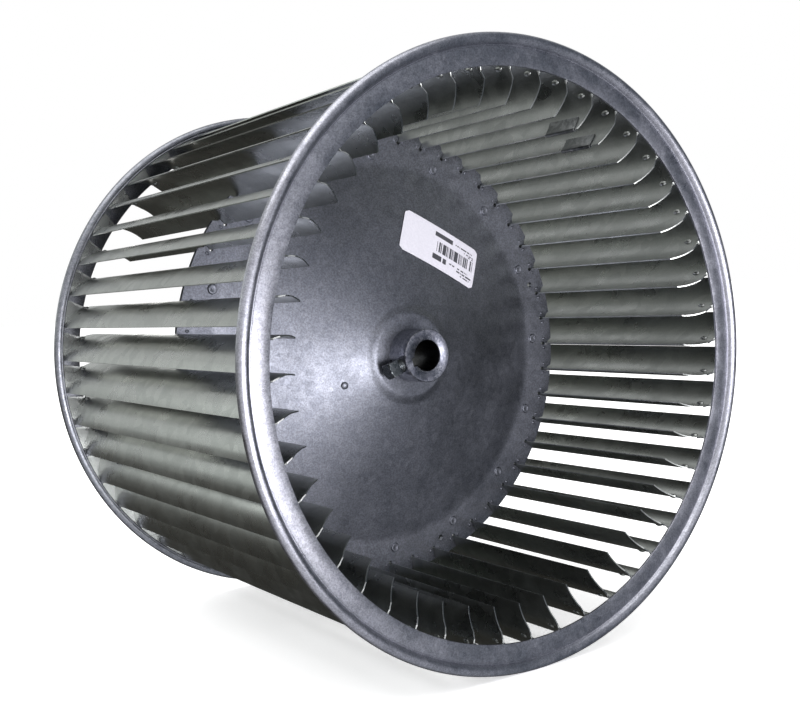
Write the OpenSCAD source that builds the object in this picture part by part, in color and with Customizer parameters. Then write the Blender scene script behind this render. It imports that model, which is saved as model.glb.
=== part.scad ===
// Double inlet blower wheel with forward curved strip blades, a dished centre disc
// and a keyed hub. The wheel spins about Y and its front inlet faces -Y.

/* [Wheel] */
// Outer diameter over the end ring beads
wheel_d = 301.6; // [290:0.2:320]
// Overall width over the end ring beads
wheel_w = 243.6; // [200:0.2:300]

/* [End rings] */
// Inner diameter of the end ring flange
ring_id = 271.4; // [262:0.2:274]
// Thickness of the end ring sheet
ring_t = 1.2; // [1:0.1:1.4]
// Diameter of the rolled bead round the ring
bead_d = 5.5; // [5:0.1:6]
// How far the bead stands proud of the flange
bead_rise = 2.15; // [1.9:0.05:2.3]

/* [Blades] */
// Number of blades
blade_count = 48; // [24:1:48]
// Thickness of the blade strip
blade_t = 0.6; // [0.4:0.1:0.8]
// Radius of the blades' inner edges
blade_in_r = 119.4; // [117:0.2:121]
// Radius of the blades' outer edges
blade_out_r = 146; // [144:0.2:147]
// Radius of the blade's curved section
blade_camber_r = 20.9; // [18:0.1:26]
// Angle of the first blade's inner edge
blade_phase = 6.2; // [0:0.1:7.4]
// Angle that each blade sweeps between its two edges
blade_sweep = 6.5; // [4:0.1:8]
// Length of the corner cut off at each end of the blade's inner edge
corner_len = 6.5; // [3:0.5:10]
// Depth of the same corner along the radius
corner_depth = 11; // [5:0.5:13]

/* [Centre disc] */
// Outer diameter of the centre discs
disc_d = 252; // [246:0.5:256]
// Thickness of each disc sheet
disc_t = 1.2; // [0.8:0.1:1.4]
// Radius where the disc's flat rim ends and the dish begins
dish_r = 107.6; // [100:0.1:108]
// Height of the dish at the boss
dish_h = 25.1; // [15:0.1:32]
// Radius of the raised boss round the hub
boss_r = 24.6; // [20:0.1:30]
// Height of the boss above the dish
boss_h = 2.4; // [1:0.1:4]
// Number of clinch joints between the two discs
clinch_count = 16; // [8:1:16]

/* [Hub] */
// Outer diameter of the hub collar
hub_d = 28.575; // [26:0.025:32]
// Length of the collar in front of the disc
collar_len = 15; // [12:0.5:20]
// Length of the hub's tail behind the disc
tail_len = 14.2; // [4:0.1:20]
// Shaft bore diameter
bore_d = 15.875; // [12.7:0.005:16]
// Width of the keyway
key_w = 4.8; // [3:0.1:5]
// Depth of the keyway from the bore wall
key_depth = 2.4; // [1.5:0.1:2.6]
// Direction of the keyway and the set screw, from +X towards +Z
key_angle = 198; // [0:1:359]
// Diameter of the set screw thread
screw_d = 7.94; // [6:0.02:8]

/* [Label and clips] */
// Length of the label
label_len = 56.5; // [40:0.5:60]
// Height of the label
label_h = 24.5; // [15:0.5:26]
// Length of each balance clip
clip_w = 20; // [10:1:25]

/* [Hidden] */
$fn = 96;
eps = 0.05; // gap between sheets that lie on each other
cut = 1; // how far a cutter runs past what it cuts

// ends of the wheel, measured along the axis from its centre
face_z = wheel_w / 2 - bead_rise;
bead_r = bead_d / 2;
bead_pitch_r = wheel_d / 2 - bead_r;
bead_wall = 1;
groove_r = 0.55;
groove_at = bead_pitch_r - bead_r - 0.6;
foot_z = face_z - ring_t - eps;
foot_r = bead_pitch_r + 0.3;
foot_tip_r = 134.5;
hem_depth = 3.7;
notch_w = 2.5;
notch_r = blade_out_r - 1.2;

// blade section: an arc through both edges, bulging against the turning direction
pitch = 360 / blade_count;
blade_a = [blade_in_r, 0];
blade_b = blade_out_r * [cos(blade_sweep), sin(blade_sweep)];
chord = norm(blade_b - blade_a);
chord_u = (blade_b - blade_a) / chord;
camber_c = (blade_a + blade_b) / 2
    + sqrt(pow(blade_camber_r, 2) - pow(chord / 2, 2)) * [-chord_u.y, chord_u.x];
arc_in = atan2(blade_a.y - camber_c.y, blade_a.x - camber_c.x);
arc_out = atan2(blade_b.y - camber_c.y, blade_b.x - camber_c.x);
arc_span = (arc_out - arc_in + 720) % 360;

// pressed dimples near both ends of each blade, on the hollow side
dimple_at = 47;
dimple_z = face_z - 8.3;
dimple_r = 1.9;
dimple_wall = 0.55;
dimple_lift = 0.6;

// discs: two pressings of one shape, nested and clinched
nest = disc_t + eps;
slot_bottom_r = blade_in_r - 0.2;
slot_hole_r = 1.1;
slot_gap = 0.15;
slot_mouth = 4;
slot_flare_r = 122.6;
boss_round = 2;
clinch_r = 111;
clinch_angle = 0.4;
clinch_d = 5.2;
clinch_h = 0.9;
clinch_wall = 0.55;
gauge_r = 115.7;
gauge_angle = 16.9;
gauge_d = 3.2;
pip_r = 41.4;
pip_angle = 198.6;
pip_ball = 2.4;
pip_h = 1;

// hub: collar in front, neck through the discs, then a swaged ring and the tail
dish_top_r = boss_r + boss_round;
dish_slope = dish_h / (dish_r - dish_top_r);
plateau_z = disc_t + dish_h + boss_h;
hub_face_z = plateau_z + collar_len;
neck_d = 25.4;
swage_d = 29;
swage_len = 2;
tail_d = 23.8;
stack_t = disc_t + nest + 2 * eps;
bore_chamfer = 0.8;
rim_chamfer = 0.5;

// square head set screw over the keyway
screw_y = hub_face_z - 6;
screw_gap = 0.06;
screw_tip_r = bore_d / 2 + 0.6;
screw_head_r = hub_d / 2 + 3.1;
screw_head_w = 7.94;
screw_head_h = 6;
screw_head_turn = 12;
screw_point = 1.2;
head_chamfer_r = 5;

// balance clips
clip_t = 0.7;
clip_gap = 0.12;
clip_legs = 19;
clip_blades = [8, 7];
clip_fronts = [face_z - 9.6, face_z - 13.4];

// label on the dish
label_r = 66.6;
label_angle = 58.4;
label_turn = 4.4;
label_t = 0.15;
label_corner = 2.5;

blade_names = [for (i = [1:blade_count]) str("blade_", i < 10 ? "0" : "", i)];

function polar(r, a) = r * [cos(a), sin(a)];

// local +z becomes the wheel's front, -Y
module on_axle() {
    rotate([90, 0, 0]) children();
}

module ring_profile() {
    bead_z = face_z - ring_t / 2;
    difference() {
        union() {
            translate([ring_id / 2, face_z - ring_t])
                square([bead_pitch_r - bead_r + bead_wall - ring_id / 2, ring_t]);
            difference() {
                translate([bead_pitch_r, bead_z]) circle(r = bead_r);
                translate([bead_pitch_r, bead_z]) circle(r = bead_r - bead_wall);
                translate([groove_at, face_z - ring_t - blade_t - 2 * eps])
                    square([bead_pitch_r - groove_at, blade_t + 2 * eps]);
            }
        }
        translate([groove_at, face_z + 0.15]) circle(r = groove_r, $fn = 32);
    }
}

module front_ring() {
    color("lightslategray") on_axle() rotate_extrude() ring_profile();
}

module rear_ring() {
    color("lightslategray") on_axle() mirror([0, 0, 1]) rotate_extrude() ring_profile();
}

// wedge that spans the arc from one angle to another, seen from the camber centre
module arc_wedge(from, span) {
    far = 2 * blade_camber_r;
    polygon([[0, 0], polar(far, from), polar(far, from + span / 2), polar(far, from + span)]);
}

module arc_band(inner, outer, from, span) {
    translate(camber_c) intersection() {
        difference() {
            circle(r = outer);
            circle(r = inner);
        }
        arc_wedge(from, span);
    }
}

// flat foot folded off the blade's end, on the side it bulges to; its outer edge sits in the hem
module foot_shape() {
    back = blade_sweep - pitch + notch_w / blade_out_r * 180 / PI;
    far = foot_r + 2 * cut;
    difference() {
        intersection() {
            circle(r = foot_r);
            polygon([
                polar(far, blade_sweep),
                polar(far, back),
                polar(notch_r, back),
                polar(foot_tip_r, 1.1),
                blade_b
            ]);
        }
        translate(camber_c) circle(r = blade_camber_r);
    }
}

module blade_end(end) {
    mirror([0, 0, end < 0 ? 1 : 0]) children();
}

module blade_solid() {
    half = blade_t / 2;
    dimple = concat(camber_c + polar(blade_camber_r + dimple_lift, arc_in + dimple_at), [dimple_z]);
    difference() {
        union() {
            linear_extrude(2 * foot_z, center = true)
                arc_band(blade_camber_r - half, blade_camber_r + half, arc_in, arc_span);
            for (end = [-1, 1]) blade_end(end) {
                intersection() {
                    translate(dimple) sphere(r = dimple_r, $fn = 32);
                    translate(concat(camber_c, [dimple_z]))
                        cylinder(r = blade_camber_r, h = 3 * dimple_r, center = true);
                }
                translate([0, 0, foot_z - blade_t]) linear_extrude(blade_t) foot_shape();
            }
        }
        for (end = [-1, 1]) blade_end(end) {
            translate(dimple) sphere(r = dimple_r - dimple_wall, $fn = 32);
            corner_cut();
            notch_cut();
        }
    }
}

// takes the corner off the end of the inner edge
module corner_cut() {
    slope = corner_len / corner_depth;
    rotate([90, 0, 0]) linear_extrude(blade_camber_r, center = true)
        polygon([
            [blade_in_r - cut, foot_z + cut],
            [blade_in_r - cut, foot_z - corner_len - cut * slope],
            [blade_in_r + corner_depth + cut / slope, foot_z + cut]
        ]);
}

// square notch that clears the hem, under the foot
module notch_cut() {
    low = face_z - hem_depth;
    translate([0, 0, low]) linear_extrude(foot_z - blade_t - low) difference() {
        circle(r = foot_r + 2 * cut);
        circle(r = notch_r);
    }
}

module blade(i) {
    color("darkgray") on_axle() rotate(blade_phase + i * pitch) blade_solid();
}

// half section of a disc: flat rim, straight dish, rounded boss
module disc_profile() {
    round_c = [boss_r - boss_round, plateau_z - boss_round];
    outer = concat(
        [[disc_d / 2, disc_t], [dish_r, disc_t], [dish_top_r, disc_t + dish_h]],
        [for (a = [0:15:90]) round_c + polar(boss_round, a)],
        [[neck_d / 2, plateau_z]]
    );
    inner = [for (i = [len(outer) - 1:-1:0]) outer[i] - [0, disc_t]];
    polygon(concat(outer, inner));
}

// slot that takes one blade, with its flared mouth and round bottom
module blade_slot() {
    half = blade_t / 2 + slot_gap;
    far = disc_d / 2 + 2 * cut;
    intersection() {
        arc_band(blade_camber_r - half, blade_camber_r + half, arc_in - 1, arc_span);
        circle(r = far);
    }
    translate([slot_bottom_r, 0]) circle(r = slot_hole_r, $fn = 32);
    mouth_a = slot_mouth / (disc_d / 2) * 180 / PI;
    polygon([
        polar(slot_flare_r, -0.4),
        polar(far, -0.4),
        polar(far, mouth_a),
        polar(slot_flare_r + 1, 0.6)
    ]);
}

module disc_sheet() {
    difference() {
        rotate_extrude() disc_profile();
        translate([0, 0, -cut]) linear_extrude(disc_t + 2 * cut) {
            for (i = [0:blade_count - 1]) rotate(blade_phase + i * pitch) blade_slot();
            for (i = [0:3]) rotate(gauge_angle + i * 90)
                translate([gauge_r, 0]) circle(d = gauge_d, $fn = 32);
        }
    }
}

// places its children at every clinch joint
module at_clinches() {
    for (i = [0:clinch_count - 1])
        rotate(clinch_angle + i * 360 / clinch_count) translate([clinch_r, 0, 0]) children();
}

module front_disc() {
    pocket_d = clinch_d - 2 * clinch_wall;
    pip_z = disc_t + (dish_r - pip_r) * dish_slope - pip_ball + pip_h;
    color("slategray") on_axle() difference() {
        union() {
            disc_sheet();
            at_clinches() cylinder(d = clinch_d, h = disc_t + clinch_h);
            intersection() {
                rotate(pip_angle) translate([pip_r, 0, pip_z]) sphere(r = pip_ball, $fn = 32);
                dish_skin(pip_r - 2 * pip_ball, pip_r + 2 * pip_ball, -disc_t / 2, 2 * pip_ball);
            }
        }
        at_clinches() translate([0, 0, -cut])
            cylinder(d = pocket_d, h = disc_t + clinch_h - clinch_wall + cut);
        rotate(pip_angle) translate([pip_r, 0, pip_z - disc_t]) sphere(r = pip_ball, $fn = 32);
    }
}

module rear_disc() {
    plug_d = clinch_d - 2 * clinch_wall - 2 * eps;
    plug_top = nest + disc_t + clinch_h - clinch_wall - eps;
    color("slategray") on_axle() translate([0, 0, -nest]) difference() {
        union() {
            disc_sheet();
            at_clinches() cylinder(d = plug_d, h = plug_top);
        }
        at_clinches() translate([0, 0, -cut])
            cylinder(d = plug_d - 2 * clinch_wall, h = plug_top - clinch_wall + cut);
    }
}

// square cut of the keyway, along the whole hub
module keyway() {
    rotate(key_angle) translate([0, -key_w / 2, -cut])
        cube([bore_d / 2 + key_depth, key_w, hub_face_z + 2 * cut]);
}

module hub() {
    neck_z = plateau_z - stack_t;
    color("lightgray") on_axle() difference() {
        rotate_extrude() polygon([
            [bore_d / 2, neck_z - tail_len + bore_chamfer],
            [bore_d / 2 + bore_chamfer, neck_z - tail_len],
            [tail_d / 2 - rim_chamfer, neck_z - tail_len],
            [tail_d / 2, neck_z - tail_len + rim_chamfer],
            [tail_d / 2, neck_z - swage_len],
            [swage_d / 2 - rim_chamfer, neck_z - swage_len],
            [swage_d / 2, neck_z - swage_len + rim_chamfer],
            [swage_d / 2, neck_z],
            [neck_d / 2 - eps, neck_z],
            [neck_d / 2 - eps, plateau_z + eps],
            [hub_d / 2, plateau_z + eps],
            [hub_d / 2, hub_face_z - rim_chamfer],
            [hub_d / 2 - rim_chamfer, hub_face_z],
            [bore_d / 2 + bore_chamfer, hub_face_z],
            [bore_d / 2, hub_face_z - bore_chamfer]
        ]);
        keyway();
        rotate(key_angle) translate([0, 0, screw_y]) rotate([0, 90, 0])
            cylinder(d = screw_d + 2 * screw_gap, h = hub_d);
    }
}

module set_screw() {
    color("gainsboro") on_axle() rotate(key_angle) translate([0, 0, screw_y])
        rotate([0, 90, 0]) union() {
            rotate_extrude() polygon([
                [0, screw_tip_r],
                [screw_d / 2 - screw_point, screw_tip_r],
                [screw_d / 2, screw_tip_r + screw_point],
                [screw_d / 2, screw_head_r],
                [screw_d / 2 - screw_point, screw_head_r + cut],
                [0, screw_head_r + cut]
            ]);
            intersection() {
                rotate(screw_head_turn)
                    translate([-screw_head_w / 2, -screw_head_w / 2, screw_head_r])
                    cube([screw_head_w, screw_head_w, screw_head_h]);
                rotate_extrude() polygon([
                    [0, screw_head_r - cut],
                    [head_chamfer_r + 1, screw_head_r - cut],
                    [head_chamfer_r + 1, screw_head_r + screw_head_h - 1.3],
                    [head_chamfer_r - 1, screw_head_r + screw_head_h],
                    [0, screw_head_r + screw_head_h]
                ]);
            }
        }
}

// sprung clip round a blade's inner edge, seen along the axle
module clip_shape() {
    inside = blade_t / 2 + clip_gap;
    arc_band(blade_camber_r + inside, blade_camber_r + inside + clip_t, arc_in, clip_legs);
    arc_band(blade_camber_r - inside - clip_t, blade_camber_r - inside, arc_in, clip_legs);
    translate(blade_a) rotate(arc_in) difference() {
        circle(r = inside + clip_t, $fn = 48);
        circle(r = inside, $fn = 48);
        translate([-hub_d / 2, 0]) square([hub_d, hub_d]);
    }
}

module balance_clip(i) {
    color("lightgray") on_axle() rotate(blade_phase + clip_blades[i] * pitch)
        translate([0, 0, clip_fronts[i] - clip_w]) linear_extrude(clip_w) clip_shape();
}

// band that lies on the front disc's dish
module dish_skin(inner_r, outer_r, lift, t) {
    inner_z = disc_t + (dish_r - inner_r) * dish_slope + lift;
    outer_z = disc_t + (dish_r - outer_r) * dish_slope + lift;
    rotate_extrude() polygon([
        [inner_r, inner_z],
        [outer_r, outer_z],
        [outer_r, outer_z + t],
        [inner_r, inner_z + t]
    ]);
}

module label() {
    color("white") on_axle() intersection() {
        dish_skin(dish_top_r + 2, dish_r - 2, 2 * eps, label_t);
        rotate(label_angle) translate([label_r, 0, 0]) rotate(label_turn)
            linear_extrude(plateau_z) rounded_rect(label_h, label_len, label_corner);
    }
}

module rounded_rect(w, h, r) {
    square([w - 2 * r, h], center = true);
    square([w, h - 2 * r], center = true);
    for (x = [-1, 1], y = [-1, 1])
        translate([x * (w / 2 - r), y * (h / 2 - r)]) circle(r = r, $fn = 32);
}

front_ring();
rear_ring();
front_disc();
rear_disc();
hub();
set_screw();
balance_clip(0);  // balance_clip_1
balance_clip(1);  // balance_clip_2
label();
for (i = [0:blade_count - 1])
    blade(i);
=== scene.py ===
import math
import bmesh
import bpy
from mathutils import Matrix, Vector


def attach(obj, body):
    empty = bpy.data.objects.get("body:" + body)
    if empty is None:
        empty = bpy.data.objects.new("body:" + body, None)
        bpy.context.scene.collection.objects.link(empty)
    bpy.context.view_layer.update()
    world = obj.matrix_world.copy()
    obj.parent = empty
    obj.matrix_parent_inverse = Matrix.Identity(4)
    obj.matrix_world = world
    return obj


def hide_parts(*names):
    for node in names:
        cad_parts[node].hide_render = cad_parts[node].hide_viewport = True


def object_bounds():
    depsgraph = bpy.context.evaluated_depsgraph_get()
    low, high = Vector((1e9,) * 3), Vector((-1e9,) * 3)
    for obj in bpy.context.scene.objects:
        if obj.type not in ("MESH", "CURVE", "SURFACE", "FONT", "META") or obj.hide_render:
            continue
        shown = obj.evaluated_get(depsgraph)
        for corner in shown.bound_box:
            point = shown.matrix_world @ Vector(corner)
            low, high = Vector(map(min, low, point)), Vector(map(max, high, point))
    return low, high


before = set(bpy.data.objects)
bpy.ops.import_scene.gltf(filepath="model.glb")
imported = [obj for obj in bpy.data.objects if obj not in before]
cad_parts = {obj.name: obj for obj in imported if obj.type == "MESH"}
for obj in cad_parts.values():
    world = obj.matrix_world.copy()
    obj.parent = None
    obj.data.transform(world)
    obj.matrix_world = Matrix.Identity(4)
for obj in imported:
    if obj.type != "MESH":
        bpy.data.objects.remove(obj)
cadBox = [list(corner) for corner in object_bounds()]
mm = 0.001
onAxle = Matrix.Rotation(math.radians(90), 4, "X")   # flat work: x, y across the wheel, z towards its front
scene = bpy.context.scene
print("frame loaded:", len(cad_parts), "nodes")

wheel = {
    "halfWidth": 119.65,      # centre to the flange's front face
    "blades": 48,
    "firstBlade": 6.2,        # degrees, inner edge of the first blade
    "toneSeed": 11,
}
bladePitch = 360 / wheel["blades"]


# small helpers

def polar(radius, degrees):
    a = math.radians(degrees)
    return Vector((radius * math.cos(a), radius * math.sin(a)))


def meshObject(name, mesh):
    piece = bpy.data.objects.new(name, mesh)
    scene.collection.objects.link(piece)
    return piece


def bridgeRings(bm, rings):
    # closed tube through rings of points, with a face over each end
    around = len(rings[0])
    for lower, upper in zip(rings, rings[1:]):
        for i in range(around):
            j = (i + 1) % around
            bm.faces.new((lower[i], lower[j], upper[j], upper[i]))
    bm.faces.new(rings[0][::-1])
    bm.faces.new(rings[-1])


def meshFromBmesh(name, bm, weld=1e-6, outward=True):
    bmesh.ops.remove_doubles(bm, verts=bm.verts, dist=weld)
    if outward:
        bmesh.ops.recalc_face_normals(bm, faces=bm.faces)
    mesh = bpy.data.meshes.new(name)
    bm.to_mesh(mesh)
    bm.free()
    return mesh


def smooth(mesh, degrees):
    mesh.shade_smooth()
    mesh.set_sharp_from_angle(angle=math.radians(degrees))


def evaluated(piece):
    # turns the live modifiers into a plain mesh
    graph = bpy.context.evaluated_depsgraph_get()
    graph.update()
    mesh = bpy.data.meshes.new_from_object(piece.evaluated_get(graph), depsgraph=graph)
    piece.modifiers.clear()
    old = piece.data
    piece.data = mesh
    if old.users == 0:
        bpy.data.meshes.remove(old)
    return mesh


def joinMeshes(name, meshes):
    bm = bmesh.new()
    for mesh in meshes:
        bm.from_mesh(mesh)
    mesh = bpy.data.meshes.new(name)
    bm.to_mesh(mesh)
    bm.free()
    return mesh


# geometry node trees

def startTree(name, inputs):
    tree = bpy.data.node_groups.new(name, "GeometryNodeTree")
    tree.interface.new_socket("Geometry", in_out="INPUT", socket_type="NodeSocketGeometry")
    for label, kind, value in inputs:
        made = tree.interface.new_socket(label, in_out="INPUT", socket_type=kind)
        if value is not None:
            made.default_value = value
    tree.interface.new_socket("Geometry", in_out="OUTPUT", socket_type="NodeSocketGeometry")
    return tree, tree.nodes.new("NodeGroupInput"), tree.nodes.new("NodeGroupOutput")


def mathNode(tree, operation, a, b=0.0):
    node = tree.nodes.new("ShaderNodeMath")
    node.operation = operation
    for socket, value in zip(node.inputs, (a, b)):
        if hasattr(value, "node"):
            tree.links.new(value, socket)
        else:
            socket.default_value = value
    return node.outputs[0]


def turnTree():
    # turns a closed outline round the axle
    tree, source, target = startTree("turned outline", [
        ("Radius", "NodeSocketFloat", 0.1),
        ("Steps", "NodeSocketInt", 240),
        ("Material", "NodeSocketMaterial", None)])
    nodes, links = tree.nodes, tree.links
    outline = nodes.new("GeometryNodeMeshToCurve")
    path = nodes.new("GeometryNodeCurvePrimitiveCircle")
    sweep = nodes.new("GeometryNodeCurveToMesh")
    stand = nodes.new("GeometryNodeTransform")
    stand.inputs["Rotation"].default_value = (math.radians(90), 0, 0)
    realize = nodes.new("GeometryNodeRealizeInstances")
    finish = nodes.new("GeometryNodeSetMaterial")
    links.new(source.outputs["Geometry"], outline.inputs[0])
    links.new(source.outputs["Steps"], path.inputs["Resolution"])
    links.new(source.outputs["Radius"], path.inputs["Radius"])
    links.new(path.outputs[0], sweep.inputs["Curve"])
    links.new(outline.outputs[0], sweep.inputs["Profile Curve"])
    links.new(sweep.outputs[0], stand.inputs["Geometry"])
    links.new(stand.outputs[0], realize.inputs["Geometry"])
    links.new(realize.outputs[0], finish.inputs["Geometry"])
    links.new(source.outputs["Material"], finish.inputs["Material"])
    links.new(finish.outputs[0], target.inputs["Geometry"])
    return tree


def arrayTree():
    # repeats a piece round the axle; each copy gets its own tone
    tree, source, target = startTree("round array", [
        ("Count", "NodeSocketInt", 48),
        ("First Angle", "NodeSocketFloat", 0.0),
        ("Step Angle", "NodeSocketFloat", 7.5),
        ("Tone Seed", "NodeSocketInt", 11),
        ("Material", "NodeSocketMaterial", None)])
    nodes, links = tree.nodes, tree.links
    line = nodes.new("GeometryNodeMeshLine")
    line.inputs["Offset"].default_value = (0, 0, 0)
    index = nodes.new("GeometryNodeInputIndex")
    fromFirst = mathNode(tree, "MULTIPLY", index.outputs[0], source.outputs["Step Angle"])
    angle = mathNode(tree, "RADIANS", mathNode(tree, "ADD", fromFirst, source.outputs["First Angle"]))
    euler = nodes.new("ShaderNodeCombineXYZ")
    links.new(angle, euler.inputs["Z"])
    rotation = nodes.new("FunctionNodeEulerToRotation")
    place = nodes.new("GeometryNodeInstanceOnPoints")
    tone = nodes.new("FunctionNodeRandomValue")
    tone.data_type = "FLOAT"
    toneOut = [socket for socket in tone.outputs if socket.identifier == "Value_001"][0]
    store = nodes.new("GeometryNodeStoreNamedAttribute")
    store.data_type = "FLOAT"
    store.domain = "INSTANCE"
    store.inputs["Name"].default_value = "tone"
    stand = nodes.new("GeometryNodeTransform")
    stand.inputs["Rotation"].default_value = (math.radians(90), 0, 0)
    realize = nodes.new("GeometryNodeRealizeInstances")
    finish = nodes.new("GeometryNodeSetMaterial")
    links.new(source.outputs["Count"], line.inputs["Count"])
    links.new(line.outputs[0], place.inputs["Points"])
    links.new(source.outputs["Geometry"], place.inputs["Instance"])
    links.new(euler.outputs[0], rotation.inputs[0])
    links.new(rotation.outputs[0], place.inputs["Rotation"])
    links.new(place.outputs[0], store.inputs["Geometry"])
    links.new(source.outputs["Tone Seed"], tone.inputs["Seed"])
    links.new(toneOut, [socket for socket in store.inputs if socket.name == "Value"][0])
    links.new(store.outputs[0], realize.inputs["Geometry"])
    links.new(realize.outputs[0], stand.inputs["Geometry"])
    links.new(stand.outputs[0], finish.inputs["Geometry"])
    links.new(source.outputs["Material"], finish.inputs["Material"])
    links.new(finish.outputs[0], target.inputs["Geometry"])
    return tree


def runTree(piece, tree, values):
    modifier = piece.modifiers.new(tree.name, "NODES")
    modifier.node_group = tree
    for item in tree.interface.items_tree:
        if item.in_out == "INPUT" and item.name in values:
            modifier[item.identifier] = values[item.name]
    return evaluated(piece)


turnedOutline = turnTree()
roundArray = arrayTree()


def turned(name, outline, material, steps):
    # outline: (radius, height towards the front) in mm, closed
    around = sum(r for r, z in outline) / len(outline)
    points = [((r - around) * mm, -z * mm, 0) for r, z in outline]
    edges = [(i, (i + 1) % len(points)) for i in range(len(points))]
    mesh = bpy.data.meshes.new(name)
    mesh.from_pydata(points, edges, [])
    piece = meshObject(name, mesh)
    runTree(piece, turnedOutline, {"Radius": around * mm, "Steps": steps, "Material": material})
    bm = bmesh.new()
    bm.from_mesh(piece.data)
    bmesh.ops.recalc_face_normals(bm, faces=bm.faces)
    bm.to_mesh(piece.data)
    bm.free()
    return piece


def repeated(name, mesh, material, count, first, step):
    piece = meshObject(name, mesh)
    runTree(piece, roundArray, {"Count": count, "First Angle": first, "Step Angle": step,
                                "Tone Seed": wheel["toneSeed"], "Material": material})
    return piece


# finishes

def newMaterial(name):
    material = bpy.data.materials.new(name)
    material.use_nodes = True
    tree = material.node_tree
    shader = tree.nodes["Principled BSDF"]
    return material, tree, shader


def addNode(tree, kind, inputs=None, **settings):
    node = tree.nodes.new(kind)
    for key, value in settings.items():
        setattr(node, key, value)
    for key, value in (inputs or {}).items():
        if hasattr(value, "node"):
            tree.links.new(value, node.inputs[key])
        else:
            node.inputs[key].default_value = value
    return node


def ramp(tree, factor, stops):
    node = addNode(tree, "ShaderNodeValToRGB", {"Fac": factor})
    band = node.color_ramp
    while len(band.elements) > 1:
        band.elements.remove(band.elements[-1])
    for i, (at, colour) in enumerate(stops):
        stop = band.elements[0] if i == 0 else band.elements.new(at)
        stop.position = at
        stop.color = (*colour, 1) if len(colour) == 3 else colour
    return node.outputs["Color"]


def tinted(tree, share, colour, over):
    # multiplies a colour by another, by a share from 0 to 1
    mix = addNode(tree, "ShaderNodeMix", {0: share, 6: colour, 7: over}, data_type="RGBA",
                  blend_type="MULTIPLY")
    return mix.outputs[2]


def remapped(tree, value, fromMin, fromMax, toMin, toMax):
    node = addNode(tree, "ShaderNodeMapRange", {"Value": value, "From Min": fromMin, "From Max": fromMax,
                                                "To Min": toMin, "To Max": toMax})
    return node.outputs[0]


def noise(tree, vector, scale, detail, roughness=0.5):
    return addNode(tree, "ShaderNodeTexNoise", {"Vector": vector, "Scale": scale, "Detail": detail,
                                                "Roughness": roughness})


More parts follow.
